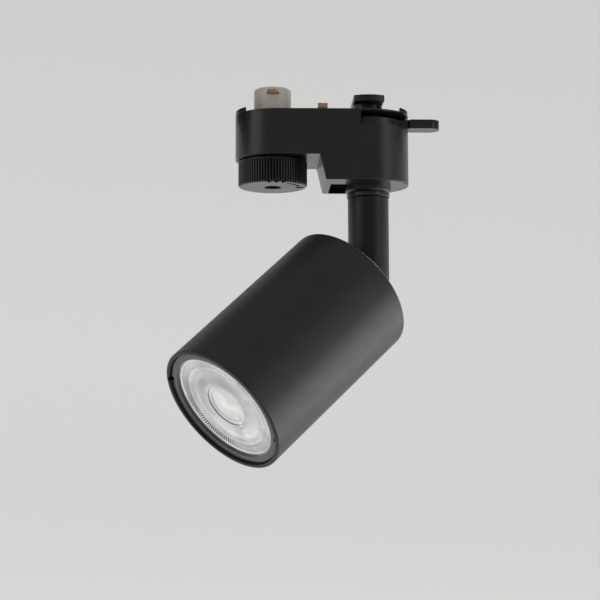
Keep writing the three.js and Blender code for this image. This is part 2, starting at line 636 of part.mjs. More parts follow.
const headGroup = new THREE.Group();
headGroup.position.z = PIVOT_Z;
headGroup.rotation.y = radians(TILT_DEG);
stemGroup.add(headGroup);
add(headGroup, "tilt_bracket", tiltBracket(), POWDER_BLACK);
for (const [number, y] of [[1, -3.1], [2, 2.6]]) {
  const washer = alongY(tube(2.1, 6.5, y, y + 0.5, SMALL_SIDES), 0, 0);
  add(headGroup, "tilt_washer_" + number, washer, NATURAL_PLASTIC);
}
add(headGroup, "rear_cap", rearCap(), POWDER_BLACK);
add(headGroup, "head_shell", headShell(), POWDER_BLACK);
add(headGroup, "cable_bush", cableBush(), RUBBER);
add(headGroup, "holder_bridge", holderBridge(), STEEL);
add(headGroup, "lampholder", lampholder(), CERAMIC);
add(headGroup, "socket_clip_live", socketClip(180), BRASS);
add(headGroup, "socket_clip_neutral", socketClip(0), BRASS);
for (const [number, side] of [[1, -1], [2, 1]]) {
  const footScrew = screw(2.6, 1.8, 1.5, 5, FOOT_TOP + 0.05).translate(FOOT_SCREW_X * side, 0, 0);
  const spacer = tube(1.6, 3, BRIDGE_TOP + 0.1, CAP_IN - 0.1, SMALL_SIDES).translate(SPACER_X * side, 0, 0);
  const bridgeScrew = screw(2.8, 1.7, 1.5, 15.5, 0).rotateX(Math.PI);
  bridgeScrew.translate(SPACER_X * side, 0, BRIDGE_LOW - 0.05);
  const holderScrew = screw(2.6, 1.7, 1.5, 9, BRIDGE_TOP + 0.05).translate(HOLDER_SCREW_X * side, 0, 0);
  add(headGroup, "bracket_screw_" + number, footScrew, STEEL);
  add(headGroup, "bridge_spacer_" + number, spacer, BRASS);
  add(headGroup, "bridge_screw_" + number, bridgeScrew, STEEL);
  add(headGroup, "lampholder_screw_" + number, holderScrew, STEEL);
}
for (const [name, side, look] of [["live", -1, LEAD_BROWN], ["neutral", 1, LEAD_BLUE]]) {
  const route = [[3.2, 8.5, 62.9], [2.6, 9.6, 67], [1.4, 13, 72], [1.3, BUSH_Y, 75.5], [1.3, BUSH_Y, 77.5]];
  add(headGroup, name + "_lead_head", lead(route.map(([x, y, s]) => [x * side, y, FRONT + s])), look);
}

// ---------------------------------------------------------------- retaining ring, twists in the head

// Two lugs hold it behind the groove's lip, and two notches take the tool that turns it.
function retainingRing() {
  const ring = tube(RING_HOLE_R, RING_R, RING_FRONT, RING_BACK, HEAD_SIDES);
  const lug = box([RING_R - 0.5, LUG_R], [-LUG_HALF, LUG_HALF], [RING_FRONT + 0.5, RING_BACK]);
  const notch = box([RING_R - 1.2, RING_R + 1], [-1.1, 1.1], [RING_FRONT - 1, RING_BACK + 1]);
  const lugs = [0, 180].map((turn) => lug.clone().rotateZ(radians(ENTRY_DEG + TWIST_DEG + turn)));
  const notches = [0, 180].map((turn) => notch.clone().rotateZ(radians(ENTRY_DEG + turn)));
  return cut(join(ring, ...lugs), ...notches);
}

add(headGroup, "retaining_ring", retainingRing(), GREY_PLASTIC);

// ---------------------------------------------------------------- lamp, twists in the lampholder

function lampShell() {
  return turned([
    [23.5, RING_BACK + 0.2],
    [25, RING_BACK + 0.2],
    [25, FRONT + 7.5],
    [15, FRONT + 33],
    [14, FRONT + 34.8],
    [12.4, FRONT + 34.8],
    [12.4, FRONT + 38],
    [11.2, FRONT + 38],
    [11.2, FRONT + 32.5],
    [13.2, FRONT + 32.5],
    [23.5, FRONT + 7.2],
  ]);
}

function lampBase() {
  const cup = turned([
    [12.6, FRONT + 35],
    [14, FRONT + 35],
    [14, FRONT + 48.7],
    [13, FRONT + 49.7],
    [0, FRONT + 49.7],
    [0, FRONT + 48.2],
    [12.6, FRONT + 48.2],
  ]);
  const pinHole = rod(1.6, FRONT + 45, FRONT + 52, SMALL_SIDES);
  const pinHoles = [-1, 1].map((side) => pinHole.clone().translate(0, PIN_PITCH_R * side, 0));
  return cut(cup, ...pinHoles);
}

function lampPin(side) {
  return turned([
    [0, FRONT + 46.5],
    [1.5, FRONT + 46.5],
    [1.5, FRONT + 54],
    [2.4, FRONT + 54],
    [2.4, FRONT + 56.4],
    [1.9, FRONT + 57],
    [0, FRONT + 57],
  ], SMALL_SIDES).translate(0, PIN_PITCH_R * side, 0);
}

// A clear cone that collects the light of the emitter, flat in front, with a recess over the emitter.
// Its face stands a little way into the ring's hole.
function lampLens() {
  return turned([
    [0, LENS_FRONT],
    [23.1, LENS_FRONT],
    [23.1, FRONT + 6.5],
    [8, FRONT + 26.5],
    [6.2, FRONT + 26.5],
    [5.4, FRONT + 19],
    [0, FRONT + 18],
  ]);
}

add(headGroup, "lamp_shell", lampShell(), LAMP_WHITE);
add(headGroup, "lamp_base", lampBase(), LAMP_WHITE);
add(headGroup, "lamp_pin_live", lampPin(-1), STEEL);
add(headGroup, "lamp_pin_neutral", lampPin(1), STEEL);
add(headGroup, "lamp_lens", lampLens(), LENS_CLEAR);
add(headGroup, "led_chip", rod(5.5, FRONT + 26.9, FRONT + 27.95, SMALL_SIDES), PHOSPHOR);
add(headGroup, "led_board", rod(14.3, FRONT + 28, FRONT + 29.2), BOARD_WHITE);
add(headGroup, "driver_board", box([-10, 10], [-0.6, 0.6], [FRONT + 29.5, FRONT + 46]), BOARD_GREEN);

// ---------------------------------------------------------------- the whole spotlight

const group = new THREE.Group();
group.add(adapter, contactGroup, lockGroup, stemGroup);

export default group;
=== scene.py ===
"""Track spotlight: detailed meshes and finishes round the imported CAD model, with a studio and a camera.

Shapes are worked in millimetres, each in the axes of the body it belongs to, and turned into metres when
they become pieces. The places come from the CAD nodes and joints.
"""

import functools
import json
import math

import bmesh
import bpy
from mathutils import Matrix, Vector


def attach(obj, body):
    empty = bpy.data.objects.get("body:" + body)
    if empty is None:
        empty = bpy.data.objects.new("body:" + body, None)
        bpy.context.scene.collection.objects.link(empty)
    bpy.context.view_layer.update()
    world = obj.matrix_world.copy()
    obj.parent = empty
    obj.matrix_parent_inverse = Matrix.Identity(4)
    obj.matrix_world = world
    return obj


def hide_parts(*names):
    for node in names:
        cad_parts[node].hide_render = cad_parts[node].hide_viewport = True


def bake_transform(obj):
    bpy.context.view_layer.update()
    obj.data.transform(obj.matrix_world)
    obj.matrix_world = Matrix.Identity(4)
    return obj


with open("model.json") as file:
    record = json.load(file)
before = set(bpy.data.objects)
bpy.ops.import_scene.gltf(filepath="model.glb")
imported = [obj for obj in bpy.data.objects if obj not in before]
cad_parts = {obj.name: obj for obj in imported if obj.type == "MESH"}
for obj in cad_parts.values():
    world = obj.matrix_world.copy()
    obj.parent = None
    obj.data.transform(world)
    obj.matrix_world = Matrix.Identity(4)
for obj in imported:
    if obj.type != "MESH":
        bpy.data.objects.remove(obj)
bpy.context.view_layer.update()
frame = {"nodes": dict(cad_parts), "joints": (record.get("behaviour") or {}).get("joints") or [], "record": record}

MM = 0.001

# Edges that turn by more than this are shaded as sharp.
SHARP = math.radians(35)

# Sides of round shapes: the head's rims, other large shapes, usual ones, and small holes.
HEAD_SIDES = 192
FINE = 128
ROUND = 64
SMALL_SIDES = 32

# ---------------------------------------------------------------- places

JOINTS = {joint["name"]: joint for joint in frame["joints"]}


def joint_point(name):
    return Vector(JOINTS[name]["pos_m"]) / MM


def joint_axis(name):
    return Vector(JOINTS[name]["axis"]).normalized()


def axes_at(origin, x, y, z):
    """A place with its own three axes."""
    place = Matrix((x, y, z)).transposed().to_4x4()
    place.translation = origin
    return place


def moved(x=0.0, y=0.0, z=0.0):
    return Matrix.Translation((x, y, z))


def turned(degrees, axis="Z"):
    return Matrix.Rotation(math.radians(degrees), 4, axis)


UP = Vector((0, 0, 1))
TILT_AXIS = joint_axis("head_tilt")
REARWARD = -joint_axis("lamp_twist")
PIVOT = joint_point("head_tilt")

ADAPTER = Matrix.Identity(4)
CONTACTS = Matrix.Translation(joint_point("contact_turn"))
LOCK = Matrix.Translation(joint_point("lock_turn"))
STEM = axes_at(joint_point("stem_pan"), TILT_AXIS.cross(UP), TILT_AXIS, UP)
HEAD = axes_at(PIVOT, TILT_AXIS.cross(REARWARD), TILT_AXIS, REARWARD)

# Turns a shape made along +Z so that it lies along +Y, or hangs down.
ALONG_Y = turned(-90, "X")
UPSIDE_DOWN = turned(180, "X")


def extent(place, *nodes):
    """Lowest and highest corners of CAD nodes in the axes of a place, in mm."""
    to_place = place.inverted()
    vertices = [v for node in nodes for v in frame["nodes"][node].data.vertices]
    points = [to_place @ (v.co / MM) for v in vertices]
    return tuple(Vector([pick(p[i] for p in points) for i in range(3)]) for pick in (min, max))


# ---------------------------------------------------------------- shapes


def rounded(points, steps=5):
    """A closed outline. Each point is (x, y) for a sharp corner, or (x, y, radius) for a round one."""
    outline = []
    for i, point in enumerate(points):
        here = Vector(point[:2])
        radius = point[2] if len(point) > 2 else 0
        if not radius:
            outline.append(here)
            continue
        back = (Vector(points[i - 1][:2]) - here).normalized()
        on = (Vector(points[(i + 1) % len(points)][:2]) - here).normalized()
        half = back.angle(on) / 2
        centre = here + (back + on).normalized() * radius / math.sin(half)
        reach = radius / math.tan(half)
        start, end = here + back * reach - centre, here + on * reach - centre
        first = math.atan2(start.y, start.x)
        sweep = (math.atan2(end.y, end.x) - first + math.pi) % (2 * math.pi) - math.pi
        for step in range(steps + 1):
            angle = first + sweep * step / steps
            outline.append(centre + radius * Vector((math.cos(angle), math.sin(angle))))
    return outline


def arc(radius, from_deg, to_deg, steps, centre=(0, 0)):
    angles = [math.radians(from_deg + (to_deg - from_deg) * i / steps) for i in range(steps + 1)]
    return [Vector((centre[0] + radius * math.cos(a), centre[1] + radius * math.sin(a))) for a in angles]


def obround(half_length, radius, steps=ROUND // 2, centre=0.0):
    """Two half circles joined by straight sides along X."""
    right = arc(radius, -90, 90, steps, (centre + half_length, 0))
    return right + arc(radius, 90, 270, steps, (centre - half_length, 0))


def to_mesh(builder):
    bmesh.ops.recalc_face_normals(builder, faces=builder.faces)
    mesh = bpy.data.meshes.new("shape")
    builder.to_mesh(mesh)
    builder.free()
    return mesh


def lathe(points, sides=FINE):
    """A solid turned about Z. The points are (radius, height) with an optional corner radius."""
    builder = bmesh.new()
    loops = []
    for radius, height in rounded(points):
        count = sides if radius > 1e-4 else 1
        angles = [2 * math.pi * i / count for i in range(count)]
        ring = [(radius * math.cos(a), radius * math.sin(a), height) for a in angles]
        loops.append([builder.verts.new(corner) for corner in ring])
    for low, high in zip(loops, loops[1:] + loops[:1]):
        for i in range(sides):
            below = [low[i % len(low)], low[(i + 1) % len(low)]]
            above = [high[(i + 1) % len(high)], high[i % len(high)]]
            different = list(dict.fromkeys(below + above))
            if len(different) > 2:
                builder.faces.new(different)
    return to_mesh(builder)


def disc(radius, low, high, edge=0.0, sides=ROUND):
    return lathe([(0, low), (radius, low, edge), (radius, high, edge), (0, high)], sides)


def tube(inner, outer, low, high, edge=0.0, sides=ROUND):
    corners = [(inner, low), (outer, low), (outer, high), (inner, high)]
    return lathe([(*corner, edge) for corner in corners], sides)


def prism(outline, low, high, edge=0.0):
    """An outline in XY between two heights, its top and bottom edges rounded."""
    builder = bmesh.new()
    bottom = [builder.verts.new((x, y, low)) for x, y in outline]
    top = [builder.verts.new((x, y, high)) for x, y in outline]
    builder.faces.new(bottom[::-1])
    builder.faces.new(top)
    for i, corner in enumerate(bottom):
        after = (i + 1) % len(bottom)
        builder.faces.new([corner, bottom[after], top[after], top[i]])
    if edge:
        rims = [e for e in builder.edges if abs(e.verts[0].co.z - e.verts[1].co.z) < 1e-6]
        bmesh.ops.bevel(builder, geom=rims, offset=edge, segments=4, profile=0.5, affect="EDGES")
    return to_mesh(builder)


def skinned(loops):
    """A closed mesh through rings of points, all with the same count, and flat at both ends."""
    builder = bmesh.new()
    rings = [[builder.verts.new(point) for point in loop] for loop in loops]
    for before, after in zip(rings, rings[1:]):
        for i in range(len(before)):
            on = (i + 1) % len(before)
            builder.faces.new([before[i], before[on], after[on], after[i]])
    builder.faces.new(rings[0][::-1])
    builder.faces.new(rings[-1])
    return to_mesh(builder)


def curve_through(points, steps=8):
    """A smooth curve through points, by Catmull and Rom's rule."""
    ends = [2 * points[0] - points[1], *points, 2 * points[-1] - points[-2]]
    curve = []
    for a, b, c, d in zip(ends, ends[1:], ends[2:], ends[3:]):
        for i in range(steps):
            t = i / steps
            square, cube = 2 * a - 5 * b + 4 * c - d, 3 * b - a - 3 * c + d
            curve.append((2 * b + (c - a) * t + square * t**2 + cube * t**3) / 2)
    return curve + [points[-1]]


def hose(route, radius, sides=24):
    """A round rod along a curve, closed at both ends."""
    angles = [2 * math.pi * k / sides for k in range(sides)]
    loops = []
    side = Vector((0, 0, 1))
    for i, here in enumerate(route):
        along = (route[min(i + 1, len(route) - 1)] - route[max(i - 1, 0)]).normalized()
        side = (side - along * side.dot(along)).normalized()
        other = along.cross(side)
        loops.append([here + radius * (side * math.cos(a) + other * math.sin(a)) for a in angles])
    return skinned(loops)


def box(x, y, z):
    return prism([(x[0], y[0]), (x[1], y[0]), (x[1], y[1]), (x[0], y[1])], z[0], z[1])


def placed(mesh, *places):
    """Moves a mesh, first by the last place and then by those before it."""
    for place in reversed(places):
        mesh.transform(place)
    return mesh


def evaluated(worker):
    """The mesh that a worker's modifiers make. The worker goes."""
    bpy.context.view_layer.update()
    graph = bpy.context.evaluated_depsgraph_get()
    mesh = bpy.data.meshes.new_from_object(worker.evaluated_get(graph))
    bpy.data.objects.remove(worker)
    return mesh


def worker_for(mesh):
    """A passing object, for a modifier to work on."""
    worker = bpy.data.objects.new("work", mesh)
    bpy.context.scene.collection.objects.link(worker)
    return worker


def combined(operation, base, tools):
    worker = worker_for(base)
    others = [worker_for(tool) for tool in tools]
    for other in others:
        modifier = worker.modifiers.new("combine", "BOOLEAN")
        modifier.operation = operation
        modifier.solver = "MANIFOLD"
        modifier.object = other
    mesh = evaluated(worker)
    for other in others:
        bpy.data.objects.remove(other)
    return mesh


def cut(base, *tools):
    """Takes tools away from a base. They reach past what they cut, so that no faces coincide."""
    return combined("DIFFERENCE", base, tools)


def joined(base, *others):
    return combined("UNION", base, others)


def shared(base, *others):
    return combined("INTERSECT", base, others)


def softened(mesh, width, segments=3, above_deg=40):
    """Rounds every edge sharper than the given angle."""
    worker = worker_for(mesh)
    bevel = worker.modifiers.new("edges", "BEVEL")
    bevel.width = width
    bevel.segments = segments
    bevel.limit_method = "ANGLE"
    bevel.angle_limit = math.radians(above_deg)
    return evaluated(worker)


def piece(name, mesh, place, body, slot, *nodes):
    """Puts a finished mesh in the scene, riding on its body in place of the CAD nodes that it stands for."""
    mesh.transform(Matrix.Scale(MM, 4) @ place)
    mesh.shade_smooth()
    mesh.set_sharp_from_angle(angle=SHARP)
    mesh.materials.clear()
    mesh.materials.append(FINISHES[slot])
    shown = bpy.data.objects.new(name, mesh)
    bpy.context.scene.collection.objects.link(shown)
    normals = shown.modifiers.new("normals", "WEIGHTED_NORMAL")
    normals.keep_sharp = True
    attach(shown, body)
    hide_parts(*nodes)


# ---------------------------------------------------------------- finishes


def new_finish(name, color, roughness, metallic=0.0):
    material = bpy.data.materials.new(name)
    material.use_nodes = True
    shader = material.node_tree.nodes["Principled BSDF"]
    shader.inputs["Base Color"].default_value = (*color, 1)
    shader.inputs["Roughness"].default_value = roughness
    shader.inputs["Metallic"].default_value = metallic
    return material, shader


def node(material, kind, **settings):
    """A new shader node. Each setting is one of its inputs or its properties."""
    made = material.node_tree.nodes.new(kind)
    for name, value in settings.items():
        if name in made.inputs:
            made.inputs[name].default_value = value
        else:
            setattr(made, name, value)
    return made


def link(material, output, socket):
    material.node_tree.links.new(output, socket)


def noise(material, size_mm, detail=3.0, stretch=(1, 1, 1)):
    """Noise with features of the given size, in the piece's own axes."""
    where = node(material, "ShaderNodeTexCoord")
    spread = node(material, "ShaderNodeMapping")
    spread.inputs["Scale"].default_value = stretch
    texture = node(material, "ShaderNodeTexNoise", Scale=1 / (size_mm * MM), Detail=detail)
    link(material, where.outputs["Object"], spread.inputs["Vector"])
    link(material, spread.outputs["Vector"], texture.inputs["Vector"])
    return texture.outputs["Fac"]


# Most of a noise's values lie between these.
NOISE_LOW, NOISE_HIGH = 0.3, 0.7


def spread_between(material, value, low, high, socket):
    mapped = node(material, "ShaderNodeMapRange")
    mapped.inputs["From Min"].default_value = NOISE_LOW
    mapped.inputs["From Max"].default_value = NOISE_HIGH
    mapped.inputs["To Min"].default_value = low
    mapped.inputs["To Max"].default_value = high
    link(material, value, mapped.inputs["Value"])
    link(material, mapped.outputs["Result"], socket)


def tint(material, shader, value, dark, light):
    ramp = node(material, "ShaderNodeValToRGB")
    ramp.color_ramp.elements[0].position = NOISE_LOW
    ramp.color_ramp.elements[1].position = NOISE_HIGH
    ramp.color_ramp.elements[0].color = (*dark, 1)
    ramp.color_ramp.elements[1].color = (*light, 1)
    link(material, value, ramp.inputs["Fac"])
    link(material, ramp.outputs["Color"], shader.inputs["Base Color"])


def bump(material, shader, value, height_mm):
    relief = node(material, "ShaderNodeBump", Strength=1.0, Distance=height_mm * MM)
    link(material, value, relief.inputs["Height"])
    link(material, relief.outputs["Normal"], shader.inputs["Normal"])


def grained(name, color, roughness, grain_mm, depth_mm, vary=0.15, specular=0.5):
    """A moulded, cast or coated finish: a fine grain, and slow changes of shade and gloss."""
    material, shader = new_finish(name, color, roughness)
    shader.inputs["Specular IOR Level"].default_value = specular
    slow = noise(material, 9.0, 4.0)
    dark = [channel * (1 - vary) for channel in color]
    light = [min(1, channel * (1 + vary)) for channel in color]
    tint(material, shader, slow, dark, light)
    gloss = noise(material, 3.0, 5.0)
    spread_between(material, gloss, roughness - 0.03, roughness + 0.03, shader.inputs["Roughness"])
    bump(material, shader, noise(material, grain_mm, 2.0), depth_mm)
    return material


def metal(name, color, roughness, stretch=(1, 1, 14)):
    """Turned or drawn metal: fine lines along one axis, and small stains."""
    material, shader = new_finish(name, color, roughness, 1.0)
    tint(material, shader, noise(material, 1.4, 6.0), [c * 0.8 for c in color], color)
    lines = noise(material, 0.9, 2.0, stretch)
    spread_between(material, lines, roughness * 0.8, roughness * 1.3, shader.inputs["Roughness"])
    bump(material, shader, lines, 0.01)
    return material


def glowing(material, shader, color, strength):
    shader.inputs["Emission Color"].default_value = (*color, 1)
    shader.inputs["Emission Strength"].default_value = strength
    return material


def math_node(material, operation, first, second=None):
    """A sum on numbers or on other nodes' outputs."""
    made = node(material, "ShaderNodeMath", operation=operation)
    for socket, value in zip(made.inputs, (first, second)):
        if isinstance(value, (int, float)):
            socket.default_value = value
        elif value is not None:
            link(material, value, socket)
    return made.outputs["Value"]


def graded(material, value, from_low, from_high, low, high):
    """A smooth step from low to high as a value goes from from_low to from_high."""
    ramp = node(material, "ShaderNodeMapRange", interpolation_type="SMOOTHSTEP")
    for name, number in (("From Min", from_low), ("From Max", from_high), ("To Min", low), ("To Max", high)):
        ramp.inputs[name].default_value = number
    link(material, value, ramp.inputs["Value"])
    return ramp.outputs["Result"]


# The optic's painted tones from its middle to its rim: share of the radius, and colour. The rings of lighter and
# darker tone are painted light and shade for the clear optic, with a warm middle, and two thin dark lines round
# the dome are painted shade at its steps.
LENS_PAINTED_TONES = [
    (0.0, (0.9, 0.86, 0.79)),
    (0.12, (0.86, 0.84, 0.8)),
    (0.2, (0.78, 0.78, 0.77)),
    (0.322, (0.68, 0.69, 0.71)),
    (0.3235, (0.16, 0.15, 0.14)),
    (0.3265, (0.16, 0.15, 0.14)),
    (0.328, (0.72, 0.72, 0.71)),
    (0.391, (0.7, 0.7, 0.7)),
    (0.3925, (0.05, 0.045, 0.04)),
    (0.3975, (0.05, 0.045, 0.04)),
    (0.3995, (0.52, 0.53, 0.55)),
    (0.56, (0.5, 0.51, 0.54)),
    (0.66, (0.64, 0.65, 0.68)),
    (0.74, (0.48, 0.49, 0.51)),
    (0.82, (0.74, 0.75, 0.76)),
    (0.95, (0.74, 0.75, 0.76)),
    (1.0, (0.88, 0.89, 0.89)),
]

# Painted highlights and painted shade on the optic, where light catches the facets behind it: x, y and radius in
# mm, and the change.
LENS_PAINTED_SPOTS = [
    (12.8, -1.4, 3.2, 0.34),
    (10.9, -0.9, 1.2, -0.45),
    (10.8, 0.4, 1.2, -0.35),
    (9.2, -1.2, 1.4, 0.5),
    (-11.8, 5.0, 3.2, -0.14),
]


def lens_plane(material):
    """Where a point lies on the optic's face, as x and y from its middle."""
    where = node(material, "ShaderNodeTexCoord")
    own = node(material, "ShaderNodeMapping", vector_type="TEXTURE")
    own.inputs["Location"].default_value = HEAD.translation * MM
    own.inputs["Rotation"].default_value = HEAD.to_euler()
    parts = node(material, "ShaderNodeSeparateXYZ")
    link(material, where.outputs["Object"], own.inputs["Vector"])
    link(material, own.outputs["Vector"], parts.inputs["Vector"])
    return parts.outputs["X"], parts.outputs["Y"]


def painted_ring_tones(material, share):
    """The optic's painted tones, with their painted light and shade, at a share of its radius."""
    ramp = node(material, "ShaderNodeValToRGB")
    for position, color in LENS_PAINTED_TONES[1:-1]:
        ramp.color_ramp.elements.new(position).color = (*color, 1)
    ramp.color_ramp.elements[0].color = (*LENS_PAINTED_TONES[0][1], 1)
    ramp.color_ramp.elements[-1].color = (*LENS_PAINTED_TONES[-1][1], 1)
    link(material, share, ramp.inputs["Fac"])
    return ramp.outputs["Color"]


def ridge_shadows(material, share, turn):
    """Dark lines between the ridges near the rim, strongest on the side that faces down."""
    calc = functools.partial(math_node, material)
    wave = calc("COSINE", calc("MULTIPLY", turn, RIDGES))
    inside = calc("MULTIPLY", calc("GREATER_THAN", share, 0.8), calc("LESS_THAN", share, 0.965))
    near = calc("COSINE", calc("SUBTRACT", turn, math.radians(62)))
    depth = graded(material, near, -0.3, 0.6, 0.3, 1.0)
    return calc("MULTIPLY", calc("MULTIPLY", calc("LESS_THAN", wave, 0.0), inside), depth)


def painted_lens_light(material, x, y, share, turn):
    """How much each place is painted brighter and darker than its ring: soft random patches, a painted bright side
    where the light falls, and painted highlight and shade spots.
    """
    calc = functools.partial(math_node, material)
    patchy = graded(material, noise(material, 7.0, 3.0), 0.36, 0.64, 0.85, 1.1)
    # Painted light: the band between dome and rim is painted lighter on one side and darker on the other, as the
    # light falls.
    side = calc("COSINE", calc("SUBTRACT", turn, math.radians(5)))
    painted_light = graded(material, side, -1, 1, -0.3, 0.2)
    from_dome = graded(material, share, 0.42, 0.5, 0, 1)
    to_rim = graded(material, share, 0.6, 0.78, 1, 0)
    painted_light = calc("ADD", calc("MULTIPLY", calc("MULTIPLY", from_dome, to_rim), painted_light), 1.0)
    for spot_x, spot_y, radius, change in LENS_PAINTED_SPOTS:
        away = [calc("SUBTRACT", axis, place * MM) for axis, place in ((x, spot_x), (y, spot_y))]
        squares = [calc("MULTIPLY", part, part) for part in away]
        distance = calc("SQRT", calc("ADD", *squares))
        spot = graded(material, distance, 0.3 * radius * MM, radius * MM, change, 0)
        painted_light = calc("ADD", painted_light, spot)
    return calc("MULTIPLY", patchy, painted_light)


def multiplied(material, factor, color, other):
    """One colour multiplied by another, by a factor. Each may be a value or another node's output."""
    mix = node(material, "ShaderNodeMix", data_type="RGBA", blend_type="MULTIPLY")
    for name, value in (("Factor", factor), ("A", color), ("B", other)):
        if isinstance(value, (float, tuple)):
            mix.inputs[name].default_value = value
        else:
            link(material, value, mix.inputs[name])
    return mix.outputs["Result"]


def lens_finish():
    """A clear moulded optic over a silvered cone, glossy, its milky look painted on: painted tones with painted
    light and shade, painted shadows in the grooves, a painted glow, and a warm middle.
    """
    material, shader = new_finish("lens_clear", (0.6, 0.61, 0.62), 0.1)
    calc = functools.partial(math_node, material)
    x, y = lens_plane(material)
    squares = calc("ADD", calc("MULTIPLY", x, x), calc("MULTIPLY", y, y))
    share = calc("DIVIDE", calc("SQRT", squares), LENS_R * MM)
    turn = calc("ARCTAN2", y, x)
    # Painted light and shade: the ring tones times the painted patches, side and spots, then painted shadows
    # between the ridges.
    tone = multiplied(material, 1.0, painted_ring_tones(material, share), painted_lens_light(material, x, y, share, turn))
    tone = multiplied(material, ridge_shadows(material, share, turn), tone, (0.02, 0.02, 0.025, 1))
    link(material, tone, shader.inputs["Base Color"])
    # A painted glow: the optic glows faintly in its painted tones, standing in for room light caught in the clear
    # optic.
    link(material, tone, shader.inputs["Emission Color"])
    shader.inputs["Emission Strength"].default_value = 0.25
    shader.inputs["Coat Weight"].default_value = 1.0
    shader.inputs["Coat Roughness"].default_value = 0.03
    return material


def phosphor_finish():
    material, shader = new_finish("phosphor", (0.85, 0.62, 0.15), 0.5)
    tint(material, shader, noise(material, 0.4), (0.8, 0.55, 0.1), (0.9, 0.7, 0.2))
    return glowing(material, shader, (1.0, 0.9, 0.7), 0.8)


LENS_R = extent(HEAD, "lamp_lens")[1].x
RIDGES = 135
POWDER_BLACK = (0.018, 0.0157, 0.0163)
SATIN_BLACK = (0.0055, 0.0045, 0.0048)

# Each has a colour and a roughness, then the grain's size and depth in mm.
FINISHES = {
    "black_plastic": grained("black_plastic", (0.01, 0.01, 0.01), 0.3, 0.12, 0.005),
    "knob_plastic": grained("knob_plastic", (0.012, 0.012, 0.012), 0.3, 0.1, 0.006),
    "grey_plastic": grained("grey_plastic", (0.082, 0.082, 0.081), 0.2, 0.12, 0.003),
    "natural_plastic": grained("natural_plastic", (0.7, 0.68, 0.6), 0.4, 0.15, 0.006, vary=0.05),
    "powder_black": grained("powder_black", POWDER_BLACK, 0.47, 0.22, 0.02, vary=0.1, specular=0.42),
    "satin_black": grained("satin_black", SATIN_BLACK, 0.36, 0.15, 0.008, vary=0.1, specular=0.38),
    "steel": metal("steel", (0.6, 0.61, 0.62), 0.3),
    "brass": metal("brass", (0.66, 0.5, 0.22), 0.3),
    "copper": metal("copper", (0.75, 0.42, 0.28), 0.28, (14, 1, 1)),
    "ceramic": grained("ceramic", (0.8, 0.77, 0.7), 0.55, 0.3, 0.01, vary=0.05),
    "lamp_white": grained("lamp_white", (0.78, 0.78, 0.77), 0.35, 0.4, 0.004, vary=0.03),
    "lens_clear": lens_finish(),
    "board_white": grained("board_white", (0.85, 0.85, 0.84), 0.3, 0.5, 0.003, vary=0.03),
    "board_green": grained("board_green", (0.04, 0.16, 0.07), 0.3, 0.5, 0.005),
    "phosphor": phosphor_finish(),
    "rubber_black": grained("rubber_black", (0.015, 0.015, 0.015), 0.75, 0.3, 0.015),
    "lead_brown": grained("lead_brown", (0.12, 0.04, 0.02), 0.4, 0.5, 0.005),
    "lead_blue": grained("lead_blue", (0.03, 0.12, 0.4), 0.4, 0.5, 0.005),
    "lead_green": grained("lead_green", (0.1, 0.3, 0.03), 0.4, 0.5, 0.005),
}

for subpart in frame["record"]["subparts"]:
    carried = frame["nodes"][subpart["node"]]
    carried.data.materials.clear()
    carried.data.materials.append(FINISHES[subpart["material_slot"]])

# ---------------------------------------------------------------- adapter casing

CASE_LOW, CASE_HIGH = extent(ADAPTER, "housing_front", "housing_back")
CASE_R = CASE_HIGH.y
CASE_HALF = CASE_HIGH.x - CASE_R
RIM_Z = CASE_HIGH.z
WALL = 1.8
THIN_Z = extent(ADAPTER, "contact_knob")[1].z + 0.3
DEEP_Z = -30.65
STEP_TOP_X = -1.42
STEP_LOW_X = 0.89
SLOT_LOW, SLOT_HIGH, SLOT_HALF = -7.8, -2.5, 3.8
SHELF_Z = -9.4
SEAM_HALF = 0.1
BOSS_R = 9.2
NIPPLE_HOLE_R = 5.1
ROTOR_HOLE_R = 4.5
WINDOW_X = (3.25, 12)
WINDOW_Y = (-5.4, CASE_R - 0.7)
LAND_X = 31
SCREW_SEAT_Y = 15


def case_block(inset, top):
    """The casing's outside, or its inside when inset: a round-ended plan and a stepped underside."""
    slope = (STEP_LOW_X - STEP_TOP_X) / (THIN_Z - DEEP_Z)
    across = inset * math.hypot(1, slope)
    end = CASE_HALF + CASE_R - inset + (0 if inset else 1)
    thin, deep = THIN_Z + inset, DEEP_Z + inset
    step = [(STEP_TOP_X + slope * (THIN_Z - z) + across, z) for z in (thin, deep)]
    side = [(-end, thin), *step, (end, deep), (end, top), (-end, top)]
    across_y = placed(prism(side, -CASE_R - 1, CASE_R + 1), turned(90, "X"))
    return shared(prism(obround(CASE_HALF, CASE_R - inset), DEEP_Z - 1, top + 0.5), across_y)


def lever_slot():
    """The lever's way out, open from the casing's front round to its end."""
    reach = CASE_R + 2
    return placed(box((-SLOT_HALF, reach), (-reach, SLOT_HALF), (SLOT_LOW, SLOT_HIGH)), LOCK)


def swivel_boss():
    """The round foot under the deep end, which the stem's ring turns against."""
    low, top, chamfer = CASE_LOW.z, DEEP_Z + 1, 0.8
    outline = [(0, low), (BOSS_R - chamfer, low), (BOSS_R, low + chamfer, 0.2), (BOSS_R, top), (0, top)]
    return placed(lathe(outline), LOCK)


